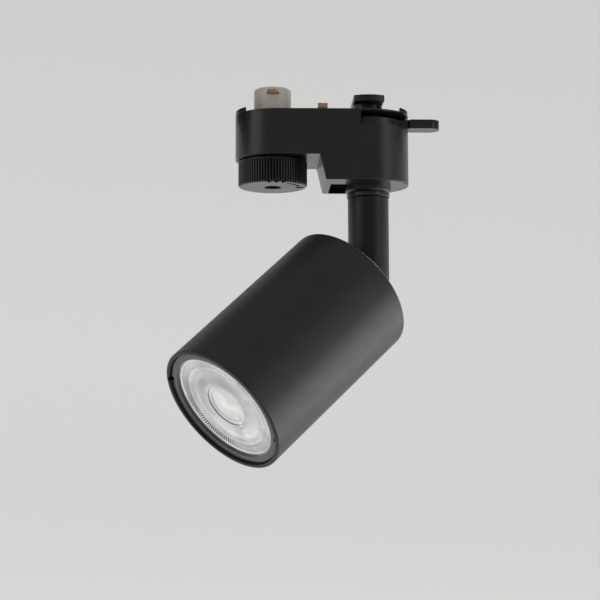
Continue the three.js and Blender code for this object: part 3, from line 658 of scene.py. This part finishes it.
def whole_case():
    """Both half shells in one: walls, a shelf under the lever, and the holes through the underside."""
    outside = softened(case_block(0, RIM_Z), 0.45, 4)
    shelf_box = box((6, 40), (-20, 20), (SHELF_Z, SLOT_LOW - 0.1))
    shelf = shared(case_block(WALL - 0.3, RIM_Z), shelf_box)
    hollow = cut(joined(outside, swivel_boss()), case_block(WALL, RIM_Z + 1))
    nipple_hole = placed(disc(NIPPLE_HOLE_R, CASE_LOW.z - 1, DEEP_Z + WALL + 1), LOCK)
    rotor_hole = placed(disc(ROTOR_HOLE_R, THIN_Z - 1, THIN_Z + WALL + 1), CONTACTS)
    boss_wall = placed(disc(BOSS_R, DEEP_Z - 2, DEEP_Z + WALL + 2), LOCK)
    window = cut(box(WINDOW_X, WINDOW_Y, (DEEP_Z - 1, DEEP_Z + WALL + 1)), boss_wall)
    return cut(joined(hollow, shelf), lever_slot(), nipple_hole, rotor_hole, window)


def screw_places():
    """The middles of the two screws that hold the half shells together."""
    ends = [extent(ADAPTER, "housing_screw_" + number) for number in "12"]
    return [(low + high) / 2 for low, high in ends]


def casing_halves():
    """The casing cut along its middle, with sinks for the screws' heads in the back half."""
    case = whole_case()
    reach = CASE_R + 4
    front = cut(case.copy(), box((-40, 40), (-SEAM_HALF, reach), (-40, 10)))
    sink_r, sink_from = 2.4, SCREW_SEAT_Y - 0.1
    spots = [moved(spot.x, 0, spot.z) for spot in screw_places()]
    sinks = [placed(disc(sink_r, sink_from, 20), spot, ALONG_Y) for spot in spots]
    back = cut(case, box((-40, 40), (-reach, SEAM_HALF), (-40, 10)), *sinks)
    piece("casing_front", softened(front, 0.2, 2), ADAPTER, "adapter", "black_plastic", "housing_front")
    piece("casing_back", softened(back, 0.2, 2), ADAPTER, "adapter", "black_plastic", "housing_back")


def cover():
    """The lid between the half shells: a plate, a raised seat for the rail's slot, and two end lands."""
    low, high = extent(ADAPTER, "top_cover")
    plate_top, seat_x, seat_y = -1.5, 10.5, 8.2
    plate = prism(obround(CASE_HALF, CASE_R - WALL - 0.1), low.z, plate_top, 0.25)
    corners = [(-seat_x, -seat_y), (seat_x, -seat_y), (seat_x, seat_y), (-seat_x, seat_y)]
    seat = prism(rounded([(*corner, 0.8) for corner in corners]), plate_top - 1, high.z, 0.3)
    outline = obround(CASE_HALF, CASE_R - 0.1)
    lands = []
    for span in ((-40, -LAND_X), (LAND_X, 40)):
        land = shared(prism(outline, RIM_Z + 0.05, 0), box(span, (-20, 20), (-5, 5)))
        lands.append(softened(land, 0.25))
    turret_hole = placed(disc(7.7, -5, 1), CONTACTS)
    spindle_hole = placed(disc(6.5, -5, 1), LOCK)
    earth_slot = box((-2.15, 2.15), (-8.8, -seat_y), (-5, 1))
    hub_pocket = placed(box((-SLOT_HALF, 25), (-20, SLOT_HALF), (-5, -2.4)), LOCK)
    mesh = cut(joined(plate, seat, *lands), turret_hole, spindle_hole, earth_slot, hub_pocket)
    piece("cover", softened(mesh, 0.15, 2), ADAPTER, "adapter", "black_plastic", "top_cover")


def screw(head_r, head_height, shank_r, length):
    """A pan-head screw that stands on z = 0, with a cross recess and a plain shank."""
    outline = [(0, -length), (shank_r * 0.6, -length), (shank_r, -length + 1), (shank_r, 0), (head_r, 0, 0.1)]
    outline += [(head_r, head_height * 0.55, head_height * 0.4), (head_r * 0.6, head_height, 0.4)]
    outline += [(0, head_height)]
    wide, narrow = head_r * 0.62, head_r * 0.13
    recess = (head_height * 0.35, head_height + 1)
    slots = [box((-x, x), (-y, y), recess) for x, y in ((wide, narrow), (narrow, wide))]
    return cut(lathe(outline, 48), *slots)


def housing_screws():
    for number, spot in zip("12", screw_places()):
        node_name = "housing_screw_" + number
        place = moved(spot.x, SCREW_SEAT_Y, spot.z) @ ALONG_Y
        piece("case_screw_" + number, screw(2.2, 1.3, 1.1, 26), place, "adapter", "steel", node_name)


def earth_leaf():
    """A bowed spring strip, with the bow towards the slot's edge."""
    low, high = extent(ADAPTER, "earth_contact")
    rest_y, bow_depth, bow_z, bow_height, half_thick = -8.5, 0.32, 0.9, 0.8, 0.17
    heights = [low.z + (high.z - low.z) * i / 24 for i in range(25)]
    middle = [(rest_y - bow_depth * math.exp(-(((z - bow_z) / bow_height) ** 2)), z) for z in heights]
    outline = [(y - half_thick, z) for y, z in middle] + [(y + half_thick, z) for y, z in middle][::-1]
    across = Matrix(((0, 0, 1, 0), (1, 0, 0, 0), (0, 1, 0, 0), (0, 0, 0, 1)))
    mesh = softened(placed(prism(outline, low.x, high.x), across), 0.08, 2)
    piece("earth_leaf", mesh, ADAPTER, "adapter", "copper", "earth_contact")


# ---------------------------------------------------------------- contacts


def knob():
    """Upright ribs between a plain rim at the top and a small chamfer at the foot, and a marked face."""
    low, high = extent(CONTACTS, "contact_knob")
    radius, ribs, per_rib, depth = high.x, 75, 10, 0.75
    face_r = 13.2
    # How deep each step of a rib lies: a rounded top, and a narrower groove.
    section = [0.0, 0.0, 0.04, 0.25, 0.85, 1.0, 0.85, 0.25, 0.04, 0.0]
    levels = [(high.z, radius - 0.4, 0), (high.z - 0.1, radius - 0.12, 0), (high.z - 0.3, radius, 0)]
    levels += [(high.z - 0.62, radius, 0), (high.z - 0.7, radius, 0.5), (high.z - 0.95, radius, 1)]
    levels += [(low.z + 0.95, radius, 1), (low.z + 0.6, radius - 0.05, 0.8), (low.z + 0.4, radius - 0.2, 0.5)]
    levels += [(low.z + 0.22, radius - 0.4, 0.1), (low.z + 0.08, face_r + 0.12, 0), (low.z, face_r - 0.15, 0)]
    loops = []
    for z, base, share in levels:
        ring = []
        for i in range(ribs * per_rib):
            angle = 2 * math.pi * i / (ribs * per_rib)
            r = base - depth * share * section[i % per_rib]
            ring.append((r * math.cos(angle), r * math.sin(angle), z))
        loops.append(ring)
    below = low.z - 1
    sink = disc(3.45, below, low.z + 3.05)
    notch = box((11.2, 15), (-0.65, 0.65), (below, low.z + 0.8))
    notches = [placed(notch.copy(), turned(degrees)) for degrees in (-98, -85, -72)]
    inner, outer = arc(10.35, -60, -14, 24), arc(11.45, -60, -14, 24)
    groove = prism(inner + outer[::-1], below, low.z + 0.6)
    at_stop = turned(-3) @ moved(10.9)
    stop = placed(disc(1.6, below, low.z + 0.7, sides=SMALL_SIDES), at_stop)
    pip = placed(disc(0.65, low.z + 0.1, low.z + 1.5, 0.1, sides=24), at_stop)
    mesh = joined(cut(skinned(loops), sink, *notches, groove, stop), pip)
    piece("grip_knob", mesh, CONTACTS, "contacts", "knob_plastic", "contact_knob")


def contact_parts():
    """The pale turret that carries the two blades, and the screw up through the knob."""
    low, high = extent(CONTACTS, "contact_rotor")
    turret_r, waist_r, flange_r, spindle_r = 7.6, 6.2, 8.6, 4.4
    shoulder_z, flange_z, foot_z = -4.1, (-18.3, -15.8), THIN_Z - 0.2
    blade_low, blade_high = extent(CONTACTS, "live_contact", "neutral_contact")
    body = [(0, foot_z), (spindle_r, foot_z), (spindle_r, flange_z[0]), (flange_r, flange_z[0])]
    body += [(flange_r, flange_z[1]), (waist_r, flange_z[1]), (waist_r, shoulder_z), (turret_r, shoulder_z)]
    body += [(turret_r, high.z, 0.9), (0, high.z)]
    pocket = (blade_low.z - 0.1, blade_high.z + 0.1)
    pockets = [box((-2.4, 2.4), y, pocket) for y in ((-9, -1.9), (1.9, 9))]
    dish = disc(4.6, high.z - 0.7, high.z + 1)
    key = box((-3, 3), (-3, 3), (low.z, THIN_Z))
    mesh = softened(cut(joined(lathe(body), key), dish, *pockets), 0.2, 3)
    piece("turret", mesh, CONTACTS, "contacts", "natural_plastic", "contact_rotor")
    tip, shoulder, half = blade_high.y, blade_high.y - 1.2, 2.2
    corners = [(-half, half), (half, half), (half, shoulder, 0.4), (1.3, tip, 0.2), (-1.3, tip, 0.2)]
    outline = rounded([*corners, (-half, shoulder, 0.4)])
    for name, degrees in (("live", 180), ("neutral", 0)):
        blade = prism(outline, blade_low.z, blade_high.z, 0.12)
        piece(name + "_blade", blade, CONTACTS @ turned(degrees), "contacts", "copper", name + "_contact")
    head_height = 1.6
    seat = CONTACTS @ moved(0, 0, extent(CONTACTS, "knob_screw")[0].z + head_height) @ UPSIDE_DOWN
    piece("centre_screw", screw(3.1, head_height, 1.2, 12), seat, "contacts", "brass", "knob_screw")


# ---------------------------------------------------------------- lock


def lever():
    """A disc in the slot, and a finger pad that is square on the inside and round at its end."""
    low, high = extent(LOCK, "lock_lever")
    hub_r, hub_low, hub_high = 14.4, -7.6, -4.4
    pad_low, pad_high, pad_r, pad_start = -7.15, -3.45, 4.2, 16.2
    pad_end = high.x - pad_r
    hub = disc(hub_r, hub_low, hub_high, 0.4, FINE)
    guide = disc(5, low.z, hub_low + 0.2)
    neck = box((hub_r - 1, 19), (-3.2, 3.2), (pad_low + 0.05, pad_high - 0.05))
    corners = [(pad_end, pad_r), (pad_start, pad_r, 1.5), (pad_start, -pad_r, 1.5), (pad_end, -pad_r)]
    pad = prism(rounded(corners)[1:-1] + arc(pad_r, -90, 90, 32, (pad_end, 0)), pad_low, pad_high, 0.35)
    mesh = softened(joined(hub, guide, neck, pad), 0.12, 2)
    piece("finger_lever", mesh, LOCK, "lock", "black_plastic", "lock_lever")


def wing():
    """The lock's bar, cut from a disc so that its tips are round, on a hollow spindle."""
    low, high = extent(LOCK, "lock_wing")
    half, reach = high.x, high.y
    turn = math.degrees(math.acos(half / reach))
    outline = arc(reach, turn, 180 - turn, 24) + arc(reach, 180 + turn, 360 - turn, 24)
    bar = prism(outline, low.z, high.z)
    middle = box((-20, 20), (-7.6, 7.6), (low.z - 1, low.z + 0.5))
    mesh = softened(cut(bar, middle), 0.35, 4)
    piece("wing", mesh, LOCK, "lock", "black_plastic", "lock_wing")
    foot, top = extent(LOCK, "lock_spindle")
    piece("spindle", tube(1.6, top.x, foot.z, top.z, 0.25), LOCK, "lock", "black_plastic", "lock_spindle")
    seat = moved(0, 0, high.z + 0.05)
    piece("wing_screw", screw(3, 1.8, 1.5, 14.2), LOCK @ seat, "lock", "steel", "lock_screw")


# ---------------------------------------------------------------- stem and knuckle

# Where the leads come out of the stem: straight behind it, in the stem's own axes.
LEAD_EXIT = STEM.to_quaternion().inverted().to_matrix().to_4x4()
LEAD_EXIT.translation = (0, 0, -49.5)
LEAD_HOLE_R = 3.4
SLEEVE_R = 2.6
PIN_HOLE_R = 2.1
PIN_SEAT_Y = 5.65
BRACKET_SCREW_X = 8.3
BRACKET_FOOT_TOP = -11.4
BUSH = moved(0, sum(corner.y for corner in extent(HEAD, "cable_bush")) / 2)


def stem():
    """A bored bar with a fork at its foot, and the ring at its head."""
    low, high = extent(STEM, "stem")
    radius = high.x
    fork_half, fork_top = 3.2, PIVOT.z + 7.4
    bar = lathe([(0, low.z - 1), (radius, low.z - 1), (radius, high.z, 0.35), (0, high.z)])
    round_foot = arc(radius, 180, 360, 48, (0, PIVOT.z))
    side = round_foot + [Vector((radius, high.z + 1)), Vector((-radius, high.z + 1))]
    across_y = placed(prism(side, -radius - 1, radius + 1), turned(90, "X"))
    fork_slot = box((-10, 10), (-fork_half, fork_half), (PIVOT.z - 10, fork_top))
    bore = disc(3.3, -60, high.z + 1)
    counterbore = disc(5.05, -42, high.z + 1)
    at_pivot = moved(0, 0, PIVOT.z) @ ALONG_Y
    pin_hole = placed(disc(PIN_HOLE_R, -6.6, 10), at_pivot)
    sink = placed(disc(3.9, PIN_SEAT_Y - 0.05, 10), at_pivot)
    lead_hole = placed(disc(LEAD_HOLE_R, 0, 10), LEAD_EXIT, ALONG_Y)
    rough = softened(shared(bar, across_y), 0.5, 4)
    mesh = softened(cut(rough, fork_slot, bore, counterbore, pin_hole, sink, lead_hole), 0.3, 3)
    piece("stem_bar", mesh, STEM, "stem", "satin_black", "stem")
    foot, top = extent(STEM, "friction_ring")
    collar = tube(5.05, top.x, foot.z, top.z, 0.25, FINE)
    piece("collar", collar, STEM, "stem", "black_plastic", "friction_ring")


def knuckle():
    """The head's bracket, whose tongue turns in the fork between two washers, and the screw through both."""
    at_pivot = STEM @ moved(0, 0, PIVOT.z)
    pin = screw(3.4, 1.9, 2, 12.1)
    piece("pivot_screw", pin, at_pivot @ moved(0, PIN_SEAT_Y) @ ALONG_Y, "stem", "steel", "tilt_screw")
    low, high = extent(HEAD, "tilt_bracket")
    arm_half, eye_r, tongue_half, tongue_foot = 5.5, 7, 2.5, BRACKET_FOOT_TOP - 1
    turn = math.degrees(math.acos(arm_half / eye_r))
    sides = [Vector((-arm_half, tongue_foot)), Vector((arm_half, tongue_foot))]
    outline = sides + arc(eye_r, -turn, 180 + turn, 64)
    tongue = placed(prism(outline, -tongue_half, tongue_half, 0.4), turned(90, "X"))
    foot_top = BRACKET_FOOT_TOP
    foot = lathe([(0, low.z), (high.x, low.z, 0.2), (high.x, foot_top, 0.6), (0, foot_top)])
    pin_hole = placed(disc(PIN_HOLE_R, -5, 5), ALONG_Y)
    mesh = softened(cut(joined(foot, tongue), pin_hole, *bracket_holes(-20, 0)), 0.2, 3, 50)
    piece("bracket", mesh, HEAD, "head", "powder_black", "tilt_bracket")
    for number in "12":
        node_name = "tilt_washer_" + number
        near, far = extent(HEAD, node_name)
        washer = tube(PIN_HOLE_R, far.z, near.y, far.y, 0.12)
        piece("washer_" + number, washer, HEAD @ ALONG_Y, "head", "natural_plastic", node_name)


def bracket_holes(low, high):
    places = [moved(x) for x in (-BRACKET_SCREW_X, BRACKET_SCREW_X)]
    return [placed(disc(1.6, low, high, sides=SMALL_SIDES), place) for place in places]


def sleeve():
    """The leads' black sleeve, in a loop from the back of the stem to the head's rubber bush."""
    low, high = extent(HEAD, "cable_bush")
    hole = STEM @ LEAD_EXIT
    bush = HEAD @ BUSH
    first = [hole @ Vector((0, y, 0)) for y in (5.5, 9.5)]
    last = [bush @ Vector((0, 0, z)) for z in (high.z + 5, low.z + 1)]
    outwards = hole.to_3x3() @ Vector((0, 1, 0))
    span = last[0] - first[1]
    middle = [first[1] + span * 0.28 + outwards * 5, first[1] + span * 0.68 + outwards * 6.5]
    route = curve_through([*first, *middle, *last])
    loop = hose(route, SLEEVE_R)
    loop.transform(Matrix.Scale(MM, 4))
    loop.shade_smooth()
    loop.materials.append(FINISHES["rubber_black"])
    shown = bpy.data.objects.new("lead_sleeve", loop)
    bpy.context.scene.collection.objects.link(shown)
    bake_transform(shown)


# ---------------------------------------------------------------- head

SHELL_LOW, SHELL_HIGH = extent(HEAD, "head_shell")
HEAD_R = SHELL_HIGH.x
FRONT, REAR = SHELL_LOW.z, SHELL_HIGH.z
BORE_R = HEAD_R - 1.7
RING_R = 26.05
ENTRY_DEG = 130
RING_TWIST_DEG = 20


def twice(mesh, degrees):
    """The same shape at two opposite places round the axis."""
    return [placed(mesh.copy(), turned(degrees + half_turn)) for half_turn in (0, 180)]


def head_tube():
    """The open tube, with a groove for the ring's lugs and two entries to it."""
    chamfer = 0.5
    outline = [(BORE_R, FRONT, 0.3), (HEAD_R, FRONT, 0.75), (HEAD_R, REAR - chamfer, 0.1)]
    outline += [(HEAD_R - chamfer, REAR, 0.1), (BORE_R, REAR, 0.3)]
    groove_low, groove_high, groove_r, entry_half = FRONT + 1.5, FRONT + 2.8, HEAD_R - 1, 1.15
    groove = tube(20, groove_r, groove_low, groove_high, sides=FINE)
    entry = box((20, groove_r - 0.05), (-entry_half, entry_half), (FRONT - 1, groove_high - 0.2))
    mesh = cut(lathe(outline, HEAD_SIDES), groove, *twice(entry, ENTRY_DEG))
    piece("head_tube", mesh, HEAD, "head", "powder_black", "head_shell")


def back_cap():
    """The plate in the tube's rear, its rubber bush, and the two screws that hold the bracket's foot."""
    low, high = extent(HEAD, "rear_cap")
    radius = high.x
    plate = lathe([(0, low.z), (radius, low.z), (radius, high.z, 0.5), (0, high.z)], HEAD_SIDES)
    bush_hole = placed(disc(3.1, low.z - 1, high.z + 1, sides=SMALL_SIDES), BUSH)
    mesh = cut(plate, bush_hole, *bracket_holes(low.z - 1, high.z + 1))
    piece("back_cap", softened(mesh, 0.2, 3), HEAD, "head", "powder_black", "rear_cap")
    bore_r, neck_r, flange_r = 2.7, 3, 4
    foot, neck_low, neck_high, top = low.z - 1, low.z - 0.1, high.z + 0.1, high.z + 1.2
    grommet = [(bore_r, foot, 0.2), (flange_r, foot, 0.3), (flange_r, neck_low, 0.2), (neck_r, neck_low)]
    grommet += [(neck_r, neck_high), (flange_r, neck_high, 0.2), (flange_r - 0.3, top, 0.5)]
    grommet += [(bore_r, top, 0.3)]
    piece("grommet", lathe(grommet, 48), HEAD @ BUSH, "head", "rubber_black", "cable_bush")
    for number, x in (("1", -BRACKET_SCREW_X), ("2", BRACKET_SCREW_X)):
        seat = HEAD @ moved(x, 0, BRACKET_FOOT_TOP + 0.05)
        node_name = "bracket_screw_" + number
        piece("foot_screw_" + number, screw(2.6, 1.8, 1.5, 5), seat, "head", "steel", node_name)


def front_ring():
    """The grey ring round the optic, with two lugs in the tube's groove and two notches for a tool."""
    hole_r, lug_half, notch_half = 23.3, 0.9, 1.1
    ring_low, ring_high = extent(HEAD, "retaining_ring")
    low, high = ring_low.z, ring_high.z
    ring = tube(hole_r, RING_R, low, high, 0.22, HEAD_SIDES)
    lug = box((RING_R - 0.55, RING_R + 0.7), (-lug_half, lug_half), (low + 0.5, high))
    notch = box((RING_R - 1.2, 28), (-notch_half, notch_half), (low - 1, high + 1))
    lugs, notches = twice(lug, ENTRY_DEG + RING_TWIST_DEG), twice(notch, ENTRY_DEG)
    mesh = softened(cut(joined(ring, *lugs), *notches), 0.1, 2)
    piece("front_ring", mesh, HEAD, "ring", "grey_plastic", "retaining_ring")


def lens():
    """The optic: fine radial ridges near its rim, a shallow hollow band, and small steps to the middle."""
    low, high = extent(HEAD, "lamp_lens")
    per_ridge, ridge_height, back_r = 6, 0.5, 8
    sides = RIDGES * per_ridge
    # Radius, depth behind the face, and share of the ridges' height.
    rim = LENS_R - 0.15
    relief = [(rim, 4.0, 0), (rim, 0.4, 0), (rim - 0.12, 0.12, 0), (rim - 0.4, 0.0, 0), (22.5, 0.05, 0)]
    relief += [(22.3, 0.45, 0.4), (21.6, 0.3, 1), (20.4, 0.25, 1), (19.1, 0.3, 0.4), (18.9, 0.1, 0)]
    relief += [(18.7, 0.07, 0), (18.4, 0.22, 0), (17.8, 0.62, 0), (17.0, 0.82, 0), (16.0, 0.77, 0)]
    relief += [(14.6, 0.52, 0), (13.2, 0.47, 0), (12.2, 0.62, 0), (11.2, 0.52, 0), (10.2, 0.44, 0)]
    relief += [(9.4, 0.42, 0), (9.17, 0.44, 0), (9.08, 0.82, 0), (8.9, 0.87, 0), (7.8, 0.84, 0)]
    relief += [(7.55, 0.86, 0), (7.48, 1.02, 0), (7.3, 1.04, 0), (5.8, 0.92, 0), (4.0, 0.82, 0)]
    relief += [(2.0, 0.72, 0), (0.8, 0.72, 0)]
    loops = []
    for r, depth, share in [(back_r, high.z - low.z, 0), *relief]:
        ring = []
        for i in range(sides):
            angle = 2 * math.pi * i / sides
            ridge = ridge_height * share * (0.5 - 0.5 * math.cos(2 * math.pi * i / per_ridge))
            ring.append((r * math.cos(angle), r * math.sin(angle), low.z + depth + ridge))
        loops.append(ring)
    piece("optic", skinned(loops), HEAD, "lamp", "lens_clear", "lamp_lens")


casing_halves()
cover()
housing_screws()
earth_leaf()
knob()
contact_parts()
lever()
wing()
stem()
knuckle()
sleeve()
head_tube()
back_cap()
front_ring()
lens()

for carried in frame["nodes"].values():
    carried.data.shade_smooth()
    carried.data.set_sharp_from_angle(angle=SHARP)

# ---------------------------------------------------------------- studio and camera

FLOOR_Z = -1.2
WALL_R = 4.0


def staged(name, mesh, material):
    mesh.materials.append(material)
    shown = bpy.data.objects.new(name, mesh)
    bpy.context.scene.collection.objects.link(shown)
    return shown


def room():
    """A pale floor that curves up into a wall all round. It glows softly, least in front."""
    material, shader = new_finish("studio_paper", (0.5, 0.5, 0.495), 1.0)
    shader.inputs["Specular IOR Level"].default_value = 0.0
    shader.inputs["Emission Color"].default_value = (1.0, 0.99, 0.975, 1)
    parts = node(material, "ShaderNodeSeparateXYZ")
    link(material, node(material, "ShaderNodeTexCoord").outputs["Object"], parts.inputs["Vector"])
    depth = graded(material, parts.outputs["Y"], -WALL_R, WALL_R * 0.6, 0.03, 0.38)
    height = graded(material, parts.outputs["Z"], FLOOR_Z, FLOOR_Z + 1.2, 0.2, 0.0)
    link(material, math_node(material, "ADD", depth, height), shader.inputs["Emission Strength"])
    bend = 1.5
    corner = arc(bend, -90, 0, 24, (WALL_R - bend, FLOOR_Z + bend))
    thick = 0.05
    inside = [Vector((0, FLOOR_Z)), *corner, Vector((WALL_R, 4))]
    outside = [Vector((point.x + thick, point.y - thick)) for point in inside[:0:-1]]
    outline = [*inside, *outside, Vector((0, FLOOR_Z - thick))]
    mesh = lathe([(*point,) for point in outline], 96)
    mesh.shade_smooth()
    staged("studio_floor", mesh, material)


def sky():
    world = bpy.data.worlds.new("studio_sky")
    world.use_nodes = True
    world.node_tree.nodes["Background"].inputs["Color"].default_value = (1, 1, 1, 1)
    world.node_tree.nodes["Background"].inputs["Strength"].default_value = 0.42
    bpy.context.scene.world = world


def towards(azimuth, elevation, distance):
    """A point round the object: azimuth 0 is the camera's side, and 90 the right."""
    a, e = math.radians(azimuth), math.radians(elevation)
    return distance * Vector((math.sin(a) * math.cos(e), -math.cos(a) * math.cos(e), math.sin(e)))


def facing(obj, place):
    obj.location = place
    obj.rotation_euler = (-place).to_track_quat("-Z", "Y").to_euler()


def soft_light(name, place, width, height, radiance):
    light = bpy.data.lights.new(name, "AREA")
    light.shape = "RECTANGLE"
    light.size, light.size_y = width, height
    light.energy = radiance * math.pi * width * height
    lamp = bpy.data.objects.new(name, light)
    bpy.context.scene.collection.objects.link(lamp)
    facing(lamp, place)
    lamp.visible_camera = False


def dark_bar(name, x):
    """A black bar in line with the rail that the light hangs from, out of the camera's sight."""
    rail_half, rail_z = 0.018, (0.001, 0.021)
    material = new_finish(name, (0.01, 0.01, 0.01), 0.9)[0]
    panel = staged(name, box(x, (-rail_half, rail_half), rail_z), material)
    panel.visible_camera = False


def camera():
    """A long lens, a little below the object and left of it, that looks slightly up."""
    lens_mm, pitch, yaw, roll = 114.05, 7.17, 2.17, -0.22
    place = Matrix.Translation((-0.03803, -0.7614, -0.17302))
    view = bpy.data.objects.new("camera", bpy.data.cameras.new("camera"))
    view.data.lens = lens_mm
    view.data.sensor_width = 36
    view.data.clip_start = 0.01
    bpy.context.scene.collection.objects.link(view)
    view.matrix_world = place @ turned(-yaw) @ turned(90 + pitch, "X") @ turned(roll)
    bpy.context.scene.camera = view


room()
sky()
# Azimuth, elevation and distance, then width, height and radiance.
soft_light("low_right_light", towards(97, -20, 1.2), 1.3, 0.7, 2.8)
soft_light("left_light", towards(-60, 14, 1.3), 0.75, 0.6, 0.8)
soft_light("right_light", towards(52, 14, 1.3), 0.6, 0.6, 0.8)
soft_light("back_light", towards(150, 27, 1.3), 0.4, 0.4, 3.0)
dark_bar("left_bar", (-0.115, -0.05))
dark_bar("right_bar", (0.05, 0.115))
camera()

bpy.context.scene.view_settings.view_transform = "Standard"
